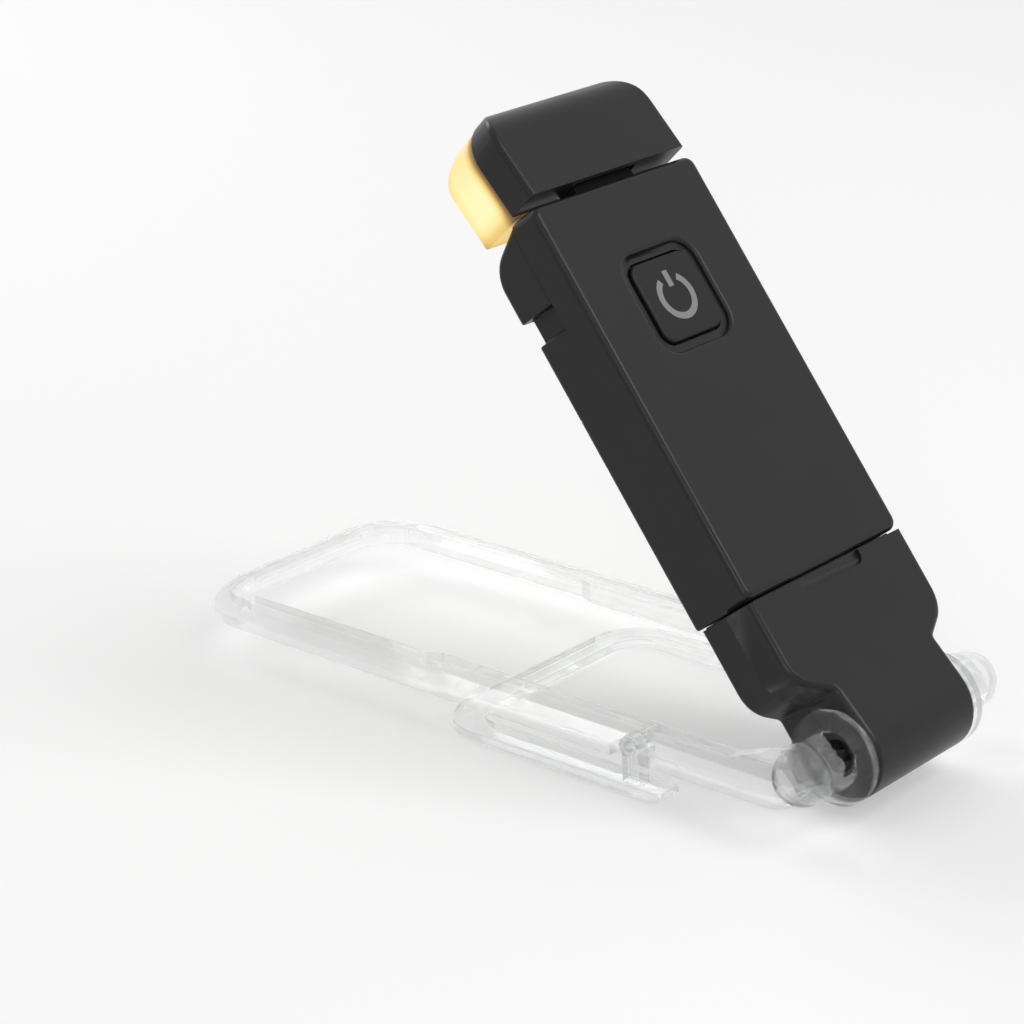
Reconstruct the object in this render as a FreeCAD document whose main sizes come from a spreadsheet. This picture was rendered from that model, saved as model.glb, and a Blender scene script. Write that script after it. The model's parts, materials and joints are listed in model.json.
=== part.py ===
"""Clip-on reading lamp: a black tilting light on a clear loop that lies along a page.

Lamp pieces are drawn upright, with the hinge axis through the local origin along X, the body rising
along Z and its front facing -Y. Loop pieces are drawn flat, with the arms running along +Y.
"""
import FreeCAD, Part
import math
import os
import re
import Sketcher

# Driving dimensions in millimetres and degrees: name, value, meaning.
DIMENSIONS = [
    ("lean_angle", 53.5, "body axis above the plane of the loop"),
    ("head_rest_tilt", 7.0, "head leaning back from the body axis"),

    ("slide_gap", 0.3, "between pieces that pass each other"),
    ("fit_gap", 0.05, "radial play of a pin in its bore"),
    ("seat_gap", 0.15, "between a piece and the pocket that holds it"),
    ("over_run", 2.0, "how far a cut runs past the solid"),

    ("body_width", 32.2, "housing, side to side"),
    ("body_thickness", 12.0, "housing, front to back"),
    ("body_height", 57.0, "body above the seam with the base"),
    ("seam_height", 22.1, "hinge axis up to that seam"),
    ("front_offset", 4.65, "hinge axis behind the front face"),
    ("front_depth", 5.0, "front half of the housing, face to parting line"),
    ("side_recess", 0.9, "back half set in from the sides"),
    ("front_wall", 1.5, "wall of the front half"),
    ("back_wall", 1.3, "wall of the back half"),
    ("corner_round", 1.5, "corners of the front outline"),
    ("edge_round", 0.9, "edges of the front face"),
    ("back_round", 0.9, "edges of the back face"),

    ("notch_height", 64.1, "hinge axis up to the notch round the back"),
    ("notch_width", 3.5, "notch along the body"),
    ("notch_depth", 0.8, "notch into the back and sides"),
    ("crown_drop", 0.4, "back half's top below the front half's"),
    ("crown_slope", 25.0, "fall of the back half's top"),
    ("crown_round", 5.0, "corner between that top and the back"),

    ("button_size", 11.4, "square power button"),
    ("button_height", 61.8, "hinge axis up to the button's centre"),
    ("button_round", 1.8, "corners of the button"),
    ("button_edge", 0.35, "edge round the button's face"),
    ("button_sink", 0.15, "button's face below the front face"),
    ("button_gap", 0.3, "dark gap round the button"),
    ("button_travel", 0.6, "press of the button"),
    ("button_flange", 0.7, "lip that keeps the button in, thickness and reach"),
    ("dish_margin", 1.1, "recess round the button, past the gap"),
    ("dish_depth", 0.7, "recess round the button, below the face"),
    ("dish_rim", 0.6, "rounded rim of that recess"),

    ("barrel_radius", 6.4, "hinge barrel and clear discs"),
    ("barrel_width", 21.4, "hinge barrel between the discs"),
    ("swell_height", 12.0, "where the front face starts to swell to the barrel"),
    ("swell_round", 18.0, "soft start of that swell"),
    ("neck_height", 7.3, "hinge axis up to the foot of the shoulder"),
    ("shoulder_rise", 3.1, "rise of the shoulder from the neck to the side"),
    ("shoulder_round", 5.0, "outer turn of the shoulder"),
    ("neck_round", 0.8, "inner turn of the shoulder"),
    ("thumb_width", 12.9, "shallow thumb recess under the seam"),
    ("thumb_height", 1.8, "thumb recess along the base"),
    ("thumb_depth", 0.5, "thumb recess into the face"),
    ("thumb_round", 1.2, "lower corners of the thumb recess"),

    ("tongue_width", 11.4, "tongue that carries the head"),
    ("tongue_thick", 3.0, "tongue, front to back"),
    ("tongue_set_back", 1.6, "tongue behind the front face"),
    ("head_pin_rise", 4.5, "head pin above the body's top"),
    ("head_pin_radius", 0.75, "pin that the head tilts on"),
    ("cheek_width", 3.0, "boss each side of the tongue"),

    ("head_gap", 1.8, "gap between body and head"),
    ("head_height", 13.0, "head cover, bottom edge to top"),
    ("head_width", 30.5, "head cover, side to side"),
    ("head_corner", 6.4, "upper corners of the head"),
    ("head_dome", 4.8, "roll of the face over the top"),
    ("head_edge", 0.8, "side edges of the head's face"),
    ("cover_wall", 1.3, "wall of the head cover"),
    ("lens_depth", 6.3, "lens, front to back"),
    ("lens_inset", 0.25, "lens set in from the cover's outline"),
    ("lens_drop", 1.3, "lens below the cover's bottom edge"),
    ("lens_wall", 1.3, "wall of the lens"),
    ("lens_round", 5.2, "upper back corner of the lens"),
    ("lens_edge", 1.0, "other edges of the lens"),
    ("tongue_swing", 1.5, "room behind the tongue for the tilt"),

    ("led_board_width", 22.0, "board behind the lens"),
    ("led_board_height", 3.6, "that board along the head"),
    ("led_board_rise", 5.0, "that board's lower edge above the cover's edge"),
    ("board_thick", 1.0, "circuit boards"),
    ("led_width", 2.4, "one light chip"),
    ("led_height", 1.8, "one light chip along the head"),
    ("led_thick", 0.6, "one light chip"),
    ("led_pitch", 3.6, "from light chip to light chip"),
    ("post_radius", 1.2, "posts under the boards"),
    ("post_inset", 1.4, "post centre in from a board's edge"),

    ("plug_width", 12.0, "standard charging plug"),
    ("plug_thick", 4.5, "standard charging plug"),
    ("plug_reach", 11.45, "plug below the body"),
    ("plug_tail", 8.2, "plug inside the body"),
    ("plug_wall", 0.3, "sheet of the plug's shell"),
    ("plug_centre", 1.05, "plug's middle behind the hinge axis"),
    ("core_thick", 1.9, "insulator inside the plug"),
    ("core_set_back", 0.4, "insulator back from the plug's mouth"),
    ("contact_set_back", 0.8, "contact strips back from the plug's mouth"),
    ("contact_width", 1.0, "one contact strip"),
    ("contact_length", 7.5, "contact strip"),
    ("contact_thick", 0.2, "contact strip"),
    ("contact_pitch", 2.3, "from strip to strip"),
    ("socket_floor", 0.4, "room past the plug's tip"),

    ("board_level", 1.6, "main board's back face behind the hinge axis"),
    ("board_margin", 0.5, "main board in from the cavity"),
    ("pad_thick", 0.4, "foam pad under the cell"),
    ("pad_margin", 2.0, "foam pad in from the cell's edges"),
    ("cell_width", 20.0, "rechargeable cell"),
    ("cell_height", 21.0, "cell along the body"),
    ("cell_thick", 3.0, "cell"),
    ("cell_round", 1.2, "cell's long edges"),
    ("cell_rise", 2.4, "cell above the plug's tail"),
    ("switch_size", 6.0, "square switch under the button"),
    ("switch_height", 2.0, "switch above the board"),
    ("plunger_radius", 1.5, "switch plunger"),
    ("plunger_dip", 0.35, "plunger inside the switch at rest"),
    ("chip_size", 4.0, "square chip on the back of the board"),
    ("chip_thick", 1.0, "chip"),
    ("chip_pitch", 9.0, "from chip to chip"),

    ("loop_width", 44.0, "clear loop, side to side"),
    ("loop_end_gap", 1.1, "inside of the loop past the drawn-out head"),
    ("loop_end_bar", 4.0, "closed end of the loop"),
    ("loop_corner", 11.0, "outer corners of the closed end"),
    ("pull_spare", 0.55, "draw of the body past the plug's reach"),
    ("arm_height", 3.0, "inner rib of an arm"),
    ("flange_thick", 1.6, "outer flange of an arm"),
    ("flange_width", 3.5, "outer flange past the rib"),
    ("far_gap", 0.4, "thin stretch of the arms past the housing"),
    ("disc_gap", 0.15, "between barrel end and disc"),
    ("disc_thick", 1.15, "clear disc"),
    ("elbow_radius", 3.9, "clear elbow outside the disc"),
    ("root_length", 12.0, "taper from the elbow down to the arm"),
    ("stub_radius", 2.2, "stub pin in the barrel"),
    ("stub_length", 4.0, "stub pin past the disc"),

    ("clip_thick", 1.3, "page clip"),
    ("clip_bar", 4.4, "arms and end of the page clip"),
    ("clip_inset", 0.6, "page clip in from the loop's outside"),
    ("clip_length", 41.0, "page clip, hinge end to closed end"),
    ("clip_tail", 5.0, "page clip behind its pins"),
    ("clip_corner", 8.0, "outer corners of the closed end"),
    ("clip_heel", 1.6, "corners at the hinge end"),
    ("clip_pin_reach", 26.0, "clip pins from the hinge axis"),
    ("clip_pin_radius", 0.8, "clip pin"),
    ("clip_pin_head", 1.3, "radius of the pin's head"),
    ("clip_head_thick", 0.5, "pin's head"),
    ("clip_pin_seat", 1.6, "pin inside the rib"),
    ("ear_width", 3.0, "ear of the page clip"),
    ("ear_thick", 2.0, "ear, side to side"),
    ("ear_play", 0.9, "gap in the flange, each side of an ear"),
]

# Sizes that follow from the driving ones: name, formula, meaning.
DERIVED = [
    ("half_width", "=body_width / 2", "half the housing"),
    ("recess_half", "=half_width - side_recess", "half the back half"),
    ("seam_level", "=front_offset - front_depth", "parting line in front of the hinge axis"),
    ("back_level", "=front_offset - body_thickness", "back face in front of the hinge axis"),
    ("back_depth", "=body_thickness - front_depth", "back half of the housing"),
    ("base_top", "=seam_height - slide_gap / 2", "top of the base"),
    ("body_bottom", "=seam_height + slide_gap / 2", "bottom of the body"),
    ("body_top", "=seam_height + body_height", "top of the body"),
    ("notch_top", "=notch_height + notch_width", "upper edge of the notch"),
    ("crown_top", "=body_top - crown_drop", "back half's top at the parting line"),
    ("crown_turn", "=crown_round * sin(crown_slope * 1 deg) - back_level - crown_round", "start of the corner, to the back"),
    ("crown_fall", "=crown_top - (crown_turn + seam_level) * tan(crown_slope * 1 deg)", "start of the corner, up"),
    ("crown_foot", "=crown_fall - crown_round * cos(crown_slope * 1 deg)", "end of the corner, up"),
    ("crown_run", "=crown_drop / tan(crown_slope * 1 deg)", "that fall's start in front of the parting line"),
    ("cavity_half", "=recess_half - notch_depth - back_wall", "half the back half's cavity"),
    ("cavity_level", "=back_level + back_wall + notch_depth", "floor of that cavity"),
    ("cavity_top", "=crown_foot - back_wall", "top of that cavity"),
    ("wall_level", "=front_offset - front_wall", "inside of the front wall"),
    ("dish_level", "=front_offset - dish_depth", "floor of the recess round the button"),
    ("hole_half", "=button_size / 2 + button_gap", "half the button's hole"),

    ("barrel_half", "=barrel_width / 2", "half the barrel"),
    ("swell_reach", "=sqrt(front_offset ^ 2 + swell_height ^ 2)", "hinge axis to the start of the swell"),
    ("swell_turn", "=atan(swell_height / front_offset) - acos(barrel_radius / swell_reach)", "where the swell meets the barrel"),
    ("shoulder_height", "=neck_height + shoulder_rise", "shoulder at the side"),
    ("base_back_level", "=-barrel_radius", "back face of the base, flush with the barrel"),

    ("tongue_face", "=front_offset - tongue_set_back", "front of the tongue"),
    ("head_pin_level", "=tongue_face - tongue_thick / 2", "head pin in front of the hinge axis"),
    ("head_pin_height", "=body_top + head_pin_rise", "head pin up from the hinge axis"),
    ("head_bottom", "=body_top + head_gap", "cover's bottom edge"),
    ("head_top", "=head_bottom + head_height", "cover's top"),
    ("lens_half", "=head_width / 2 - lens_inset", "half the lens"),
    ("lens_bottom", "=head_bottom - lens_drop", "bottom of the lens"),
    ("lens_top", "=head_top - lens_inset", "top of the lens"),
    ("lens_back", "=seam_level - lens_depth", "back of the lens"),
    ("slot_half", "=tongue_width / 2 + slide_gap", "half the slot for the tongue"),
    ("slot_top", "=head_pin_height + tongue_thick / 2 + slide_gap", "top of that slot"),
    ("cheek_half", "=slot_half + cheek_width", "outer side of the pin bosses"),
    ("led_board_bottom", "=head_bottom + led_board_rise", "lower edge of the board behind the lens"),
    ("led_board_top", "=led_board_bottom + led_board_height", "upper edge of that board"),
    ("led_board_middle", "=led_board_bottom + led_board_height / 2", "middle of that board"),
    ("led_board_back", "=seam_level - board_thick", "back face of that board"),

    ("plug_front", "=plug_thick / 2 - plug_centre", "front of the plug"),
    ("plug_back", "=-plug_thick / 2 - plug_centre", "back of the plug"),
    ("plug_tip", "=body_bottom - plug_reach", "tip of the plug"),
    ("plug_end", "=body_bottom + plug_tail", "rear end of the plug"),
    ("core_face", "=plug_back + plug_wall + core_thick", "contact face of the insulator"),
    ("socket_half", "=plug_width / 2 + seat_gap", "half the plug's socket"),
    ("socket_bottom", "=plug_tip - socket_floor", "floor of the socket"),
    ("pull_travel", "=plug_reach + pull_spare", "draw of the body off the base"),

    ("board_face", "=board_thick - board_level", "main board's front face"),
    ("board_half", "=cavity_half - board_margin", "half the main board"),
    ("board_top", "=cavity_top - board_margin", "upper edge of the main board"),
    ("pad_face", "=board_face + pad_thick", "front of the foam pad"),
    ("cell_bottom", "=plug_end + cell_rise", "lower end of the cell"),
    ("cell_top", "=cell_bottom + cell_height", "upper end of the cell"),
    ("switch_face", "=board_face + switch_height", "top of the switch"),
    ("cap_face", "=front_offset - button_sink", "button's face"),
    ("cap_lip", "=wall_level - seat_gap", "button's lip, under the front wall"),
    ("cap_back", "=cap_lip - button_flange", "back of the button"),

    ("loop_half", "=loop_width / 2", "half the clear loop"),
    ("loop_inside", "=head_top + pull_travel + loop_end_gap", "inside of the closed end"),
    ("loop_length", "=loop_inside + loop_end_bar", "closed end from the hinge axis"),
    ("arm_top", "=seam_level - slide_gap", "top of the arms, under the front half's overhang"),
    ("arm_bottom", "=arm_top - arm_height", "underside of the arms"),
    ("arm_inside", "=recess_half + slide_gap", "inside of the thick stretch"),
    ("arm_far_inside", "=half_width + far_gap", "inside of the thin stretch"),
    ("inner_corner", "=loop_corner + arm_far_inside - loop_half", "inner corners of the closed end"),
    ("rib_half", "=loop_half - flange_width", "outside of the rib"),
    ("rib_end", "=loop_length - flange_width / 2", "rib at the closed end"),
    ("disc_inside", "=barrel_half + disc_gap", "inner face of a disc"),
    ("disc_outside", "=disc_inside + disc_thick", "outer face of a disc"),
    ("elbow_turn", "=loop_half - elbow_radius", "start of the elbow's dome"),
    ("root_reach", "=sqrt(root_length ^ 2 + arm_top ^ 2)", "hinge axis to the end of the taper"),
    ("root_turn", "=atan(arm_top / root_length) + acos(elbow_radius / root_reach)", "where the taper starts"),
    ("stub_end", "=disc_inside - stub_length", "inner end of a stub pin"),

    ("clip_top", "=back_level - slide_gap", "page clip under the folded housing"),
    ("clip_bottom", "=clip_top - clip_thick", "underside of the page clip"),
    ("clip_half", "=loop_half - clip_inset", "half the page clip"),
    ("clip_start", "=clip_pin_reach - clip_tail", "hinge end of the page clip"),
    ("clip_end", "=clip_start + clip_length", "closed end of the page clip"),
    ("clip_pin_level", "=arm_top - arm_height / 2", "clip pins above the hinge axis"),
    ("ear_inside", "=rib_half + slide_gap", "inner side of an ear"),
    ("ear_outside", "=ear_inside + ear_thick", "outer side of an ear"),
    ("ear_slot", "=ear_width / 2 + ear_play", "half the gap in the flange for an ear"),

    ("hinge_back", "=(barrel_radius - loop_length) / 2", "hinge axis from the middle of the whole"),
    ("hinge_up", "=-clip_bottom", "hinge axis above the surface it rests on"),
]

# Where the drawn pieces go: upright on the hinge, the same with the head tilted, or flat with the loop.
TURN = "placement(vector(0; hinge_back; hinge_up); rotation(vector(1; 0; 0); lean_angle - 90))"
TILT = ("placement(vector(0; 0; 0); rotation(vector(1; 0; 0); -head_rest_tilt);"
        " vector(0; -head_pin_level; head_pin_height))")
UPRIGHT = TURN
TILTED = TURN + " * " + TILT
FLAT = "placement(vector(0; hinge_back; hinge_up); rotation(vector(1; 0; 0); 0))"

PLANES = {"front": "XZ_Plane", "side": "YZ_Plane", "plan": "XY_Plane"}
ALIAS = re.compile(r"\b[a-z]+(?:_[a-z]+)+\b")
TOUCH = 1e-4
# Places in a row, in pitches from its middle, and where the arms have widened along the notch.
CHIP_SHARES = (-1, 0, 1)
LED_SHARES = (-2.5, -1.5, -0.5, 0.5, 1.5, 2.5)
CONTACT_SHARES = (-1.5, -0.5, 0.5, 1.5)
STEP_SHARE = 0.7

doc = FreeCAD.newDocument("ReadingLamp")
sheet = doc.addObject("Spreadsheet::Sheet", "Sizes")
for row, (alias, amount, meaning) in enumerate(DIMENSIONS + DERIVED, start=1):
    sheet.set("A%d" % row, meaning)
    sheet.set("B%d" % row, str(amount))
    sheet.setAlias("B%d" % row, alias)
doc.recompute()


def size(text):
    """The present value of an expression in named sizes."""
    result = sheet.evalExpression(text)
    return getattr(result, "Value", result)


def bind(item, path, text):
    """Tie a property to an expression in named sizes."""
    item.setExpression(path, ALIAS.sub(r"Sizes.\g<0>", text))


def settle(feature):
    """Recompute, and stop where a feature has failed."""
    doc.recompute()
    if "Invalid" in feature.State or "Error" in feature.State:
        raise RuntimeError("%s failed: %s" % (feature.Name, feature.getStatusString()))
    return feature


def new_piece(label, place):
    piece = doc.addObject("PartDesign::Body", label)
    piece.Label = label
    bind(piece, "Placement", place)
    return piece


def new_sketch(piece, plane, level):
    """A sketch on one of the piece's own planes, moved along its normal to a level."""
    sketch = piece.newObject("Sketcher::SketchObject", piece.Label + "_sketch")
    support = next(item for item in piece.Origin.OriginFeatures if item.Role == PLANES[plane])
    sketch.AttachmentSupport = [(support, "")]
    sketch.MapMode = "FlatFace"
    bind(sketch, "AttachmentOffset.Base.z", level)
    return sketch


def fix_point(sketch, geometry, end, across, up):
    """Hold a point of a sketch at named distances from the sketch's origin."""
    for kind, axis, text in (("DistanceX", -2, across), ("DistanceY", -1, up)):
        amount = size(text)
        if abs(amount) < TOUCH:
            sketch.addConstraint(Sketcher.Constraint("PointOnObject", geometry, end, axis))
            continue
        ends = (-1, 1, geometry, end) if amount > 0 else (geometry, end, -1, 1)
        index = sketch.addConstraint(Sketcher.Constraint(kind, *ends, abs(amount)))
        bind(sketch, "Constraints[%d]" % index, text if amount > 0 else "-(%s)" % text)


def arc_between(first, last, radius):
    """An arc that leaves first and reaches last turning left, or right for a negative radius."""
    chord = last - first
    left = FreeCAD.Vector(-chord.y, chord.x, 0).normalize()
    rise = math.sqrt(radius ** 2 - (chord.Length / 2) ** 2)
    centre = (first + last) / 2 + left * math.copysign(rise, radius)
    circle = Part.Circle(centre, FreeCAD.Vector(0, 0, 1), abs(radius))
    start, end = (first, last) if radius > 0 else (last, first)
    return Part.ArcOfCircle(circle, circle.parameter(start), circle.parameter(end))


def draw_outline(sketch, points, arcs=None):
    """A closed outline through points; arcs gives the radius of the run that leaves a point."""
    arcs = arcs or {}
    places = [FreeCAD.Vector(size(across), size(up), 0) for across, up in points]
    ends = []
    for index, place in enumerate(places):
        following = places[(index + 1) % len(places)]
        radius = size(arcs[index]) if index in arcs else 0
        line = arc_between(place, following, radius) if radius else Part.LineSegment(place, following)
        ends.append((sketch.addGeometry(line), (2, 1) if radius < 0 else (1, 2)))
    for index, (geometry, (start, _)) in enumerate(ends):
        before, (_, last) = ends[index - 1]
        sketch.addConstraint(Sketcher.Constraint("Coincident", before, last, geometry, start))
        fix_point(sketch, geometry, start, *points[index])
        if index in arcs:
            radius = sketch.addConstraint(Sketcher.Constraint("Radius", geometry, abs(size(arcs[index]))))
            bind(sketch, "Constraints[%d]" % radius, "abs(%s)" % arcs[index])
    return sketch


def draw_box(sketch, half, low, high):
    """A rectangle that is symmetric about the upright axis of the sketch."""
    left = "-(%s)" % half
    return draw_outline(sketch, [(left, low), (half, low), (half, high), (left, high)])


def draw_circle(sketch, across, up, radius):
    centre = FreeCAD.Vector(size(across), size(up), 0)
    circle = Part.Circle(centre, FreeCAD.Vector(0, 0, 1), size(radius))
    geometry = sketch.addGeometry(circle)
    fix_point(sketch, geometry, 3, across, up)
    index = sketch.addConstraint(Sketcher.Constraint("Radius", geometry, size(radius)))
    bind(sketch, "Constraints[%d]" % index, radius)
    return sketch


def add(piece, sketch, length, both=False, back=False):
    """Pad a sketch along its normal, to both sides of it, or backwards."""
    pad = piece.newObject("PartDesign::Pad", piece.Label + "_pad")
    pad.Profile = sketch
    bind(pad, "Length", length)
    pad.Midplane = both
    pad.Reversed = back
    return pad


def cut(piece, sketch, length, both=False, back=True):
    """Cut a sketch out against its normal, to both sides of it, or along it."""
    doc.recompute()
    before = piece.Shape.Volume
    pocket = piece.newObject("PartDesign::Pocket", piece.Label + "_cut")
    pocket.Profile = sketch
    bind(pocket, "Length", length)
    pocket.Midplane = both
    pocket.Reversed = not back
    settle(pocket)
    if piece.Shape.Volume >= before - TOUCH:
        raise RuntimeError("%s removes nothing" % pocket.Name)
    return pocket


def spin(piece, sketch, axis):
    """Turn a sketch once round one of its own axes."""
    turn = piece.newObject("PartDesign::Revolution", piece.Label + "_turn")
    turn.Profile = sketch
    turn.ReferenceAxis = (sketch, [axis])
    return turn


def mirror(piece, features):
    """Repeat features on the other side of the middle plane."""
    twin = piece.newObject("PartDesign::Mirrored", piece.Label + "_mirror")
    middle = next(item for item in piece.Origin.OriginFeatures if item.Role == "YZ_Plane")
    twin.Originals = features
    twin.MirrorPlane = (middle, [""])
    piece.Tip = twin
    return settle(twin)


def lying(**places):
    """A test for edges that lie wholly at the given places; x counts on both sides."""
    def test(edge):
        first = edge.FirstParameter
        span = edge.LastParameter - first
        for point in (edge.valueAt(first), edge.valueAt(first + span / 2), edge.valueAt(first + span)):
            for axis, text in places.items():
                amount = getattr(point, axis)
                amount = abs(amount) if axis == "x" else amount
                if abs(amount - size(text)) > TOUCH:
                    return False
        return True
    return test


def round_edges(piece, radius, *tests):
    """Fillet the edges of a piece that pass any of the tests."""
    doc.recompute()
    base = piece.Tip
    names = ["Edge%d" % number for number, edge in enumerate(base.Shape.Edges, start=1)
             if any(test(edge) for test in tests)]
    fillet = piece.newObject("PartDesign::Fillet", piece.Label + "_round")
    fillet.Base = (base, names)
    bind(fillet, "Radius", radius)
    return settle(fillet)


def around(middle, half, level):
    """A test for edges of the front outline that stay within a square about a height."""
    flat = lying(y="-(%s)" % level)

    def test(edge):
        box = edge.BoundBox
        reach = max(abs(box.XMin), abs(box.XMax), abs(box.ZMin - size(middle)), abs(box.ZMax - size(middle)))
        return flat(edge) and reach < size(half) + TOUCH
    return test


def base_half(label, face_points, half, back):
    """Half of the hinge base: a block that runs into the barrel, cut at the parting line."""
    piece = new_piece(label, UPRIGHT)
    add(piece, draw_outline(new_sketch(piece, "side", "0"), face_points), "2 * (%s)" % half, both=True)
    barrel = draw_circle(new_sketch(piece, "side", "0"), "0", "0", "barrel_radius")
    add(piece, barrel, "barrel_width", both=True)
    beyond = draw_box(new_sketch(piece, "front", "seam_level"), "half_width + over_run",
                      "-barrel_radius - over_run", "base_top + over_run")
    cut(piece, beyond, "body_thickness", back=not back)
    for side in ("", "-"):
        waste = [("barrel_half", "-barrel_radius - over_run"), ("barrel_half", "neck_height"),
                 (half, "neck_height + shoulder_rise * (%s - barrel_half) / (half_width - barrel_half)" % half),
                 ("half_width + over_run", "shoulder_height"),
                 ("half_width + over_run", "-barrel_radius - over_run")]
        waste = [("%s(%s)" % (side, across), up) for across, up in waste]
        cut(piece, draw_outline(new_sketch(piece, "front", "0"), waste), "2 * body_thickness", both=True)
    shoulder = "neck_height + shoulder_rise * (%s - barrel_half) / (half_width - barrel_half)" % half
    round_edges(piece, "shoulder_round", lying(x=half, z=shoulder))
    round_edges(piece, "neck_round", lying(x="barrel_half", z="neck_height"))
    socket = draw_box(new_sketch(piece, "front", "seam_level"), "socket_half", "socket_bottom",
                      "base_top + over_run")
    depth = "seam_level - plug_back + seat_gap" if back else "plug_front + seat_gap - seam_level"
    cut(piece, socket, depth, back=back)
    bore = draw_circle(new_sketch(piece, "side", "0"), "0", "0", "stub_radius + fit_gap")
    cut(piece, bore, "barrel_width + over_run", both=True)
    return piece


def make_base_front():
    face = [("-seam_level", "0"), ("-seam_level", "base_top"), ("-front_offset", "base_top"),
            ("-front_offset", "swell_height"),
            ("-barrel_radius * cos(swell_turn)", "barrel_radius * sin(swell_turn)"), ("0", "0")]
    piece = base_half("base_front", face, "half_width", back=False)
    round_edges(piece, "swell_round", lying(y="-front_offset", z="swell_height"))
    thumb = draw_box(new_sketch(piece, "front", "front_offset"), "thumb_width / 2",
                     "base_top - thumb_height", "base_top + over_run")
    cut(piece, thumb, "thumb_depth")
    round_edges(piece, "thumb_round", lying(x="thumb_width / 2", z="base_top - thumb_height"))
    round_edges(piece, "edge_round", lying(x="half_width", y="-front_offset"))
    return piece


def make_base_back():
    face = [("-seam_level", "0"), ("barrel_radius", "0"), ("barrel_radius", "base_top"),
            ("-seam_level", "base_top")]
    piece = base_half("base_back", face, "recess_half", back=True)
    round_edges(piece, "back_round", lying(x="recess_half", y="barrel_radius"))
    return piece


def make_front_shell():
    piece = new_piece("front_shell", UPRIGHT)
    add(piece, draw_box(new_sketch(piece, "front", "seam_level"), "half_width", "body_bottom", "body_top"),
        "front_depth")
    round_edges(piece, "corner_round", lying(x="half_width", z="body_top"), lying(x="half_width", z="body_bottom"))
    round_edges(piece, "edge_round", lying(y="-front_offset"))
    crown = [("-seam_level", "crown_top"), ("-seam_level", "body_top"), ("-seam_level - crown_run", "body_top")]
    cut(piece, draw_outline(new_sketch(piece, "side", "0"), crown), "body_width + over_run", both=True)
    cavity = draw_box(new_sketch(piece, "front", "seam_level"), "half_width - front_wall",
                      "body_bottom + front_wall", "body_top - front_wall")
    cut(piece, cavity, "front_depth - front_wall", back=False)
    dish_half = "hole_half + dish_margin"
    dish = draw_box(new_sketch(piece, "front", "front_offset"), dish_half,
                    "button_height - (%s)" % dish_half, "button_height + %s" % dish_half)
    cut(piece, dish, "dish_depth")
    corners = [lying(x=dish_half, z="button_height - (%s)" % dish_half),
               lying(x=dish_half, z="button_height + %s" % dish_half)]
    round_edges(piece, "button_round + button_gap + dish_margin", *corners)
    round_edges(piece, "dish_rim", around("button_height", dish_half, "front_offset"))
    hole = draw_box(new_sketch(piece, "front", "dish_level"), "hole_half", "button_height - hole_half",
                    "button_height + hole_half")
    cut(piece, hole, "front_depth")
    round_edges(piece, "button_round + button_gap", lying(x="hole_half", z="button_height - hole_half"),
                lying(x="hole_half", z="button_height + hole_half"))
    mouth = draw_box(new_sketch(piece, "front", "seam_level"), "plug_width / 2 + fit_gap",
                     "body_bottom - over_run", "body_bottom + front_wall + over_run")
    cut(piece, mouth, "plug_front + fit_gap - seam_level", back=False)
    blade = [("-tongue_face", "body_top - front_wall"), ("tongue_thick - tongue_face", "body_top - front_wall"),
             ("tongue_thick - tongue_face", "head_pin_height"), ("-tongue_face", "head_pin_height")]
    add(piece, draw_outline(new_sketch(piece, "side", "0"), blade), "tongue_width", both=True)
    tip = draw_circle(new_sketch(piece, "side", "0"), "-head_pin_level", "head_pin_height", "tongue_thick / 2")
    add(piece, tip, "tongue_width", both=True)
    bore = draw_circle(new_sketch(piece, "side", "0"), "-head_pin_level", "head_pin_height",
                       "head_pin_radius + fit_gap")
    cut(piece, bore, "tongue_width + over_run", both=True)
    return piece


def make_back_shell():
    piece = new_piece("back_shell", UPRIGHT)
    add(piece, draw_box(new_sketch(piece, "front", "seam_level"), "recess_half", "body_bottom", "notch_height"),
        "back_depth", back=True)
    add(piece, draw_box(new_sketch(piece, "front", "seam_level"), "half_width", "notch_top", "crown_top"),
        "back_depth", back=True)
    crown = [("-seam_level", "crown_top"), ("crown_turn", "crown_fall"), ("-back_level", "crown_foot"),
             ("over_run - back_level", "crown_foot"), ("over_run - back_level", "crown_top + over_run"),
             ("-seam_level", "crown_top + over_run")]
    waste = draw_outline(new_sketch(piece, "side", "0"), crown, {1: "-crown_round"})
    cut(piece, waste, "body_width + over_run", both=True)
    round_edges(piece, "back_round", lying(y="-back_level", x="recess_half"), lying(y="-back_level", x="half_width"),
                lying(y="-back_level", z="body_bottom"))
    add(piece, draw_box(new_sketch(piece, "front", "seam_level"), "recess_half - notch_depth", "notch_height",
                        "notch_top"), "back_depth - notch_depth", back=True)
    cavity = draw_box(new_sketch(piece, "front", "seam_level"), "cavity_half", "body_bottom + back_wall", "cavity_top")
    cut(piece, cavity, "seam_level - cavity_level")
    mouth = draw_box(new_sketch(piece, "front", "seam_level"), "plug_width / 2 + fit_gap",
                     "body_bottom - over_run", "body_bottom + back_wall + over_run")
    cut(piece, mouth, "seam_level - plug_back + fit_gap")
    posts = new_sketch(piece, "front", "cavity_level")
    for side in ("", "-"):
        for up in ("plug_end + post_inset", "board_top - post_inset"):
            draw_circle(posts, "%s(board_half - post_inset)" % side, up, "post_radius")
    add(piece, posts, "-board_level - cavity_level")
    return piece


def make_main_board():
    piece = new_piece("main_board", UPRIGHT)
    add(piece, draw_box(new_sketch(piece, "front", "-board_level"), "board_half", "plug_end", "board_top"),
        "board_thick")
    return piece


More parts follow.
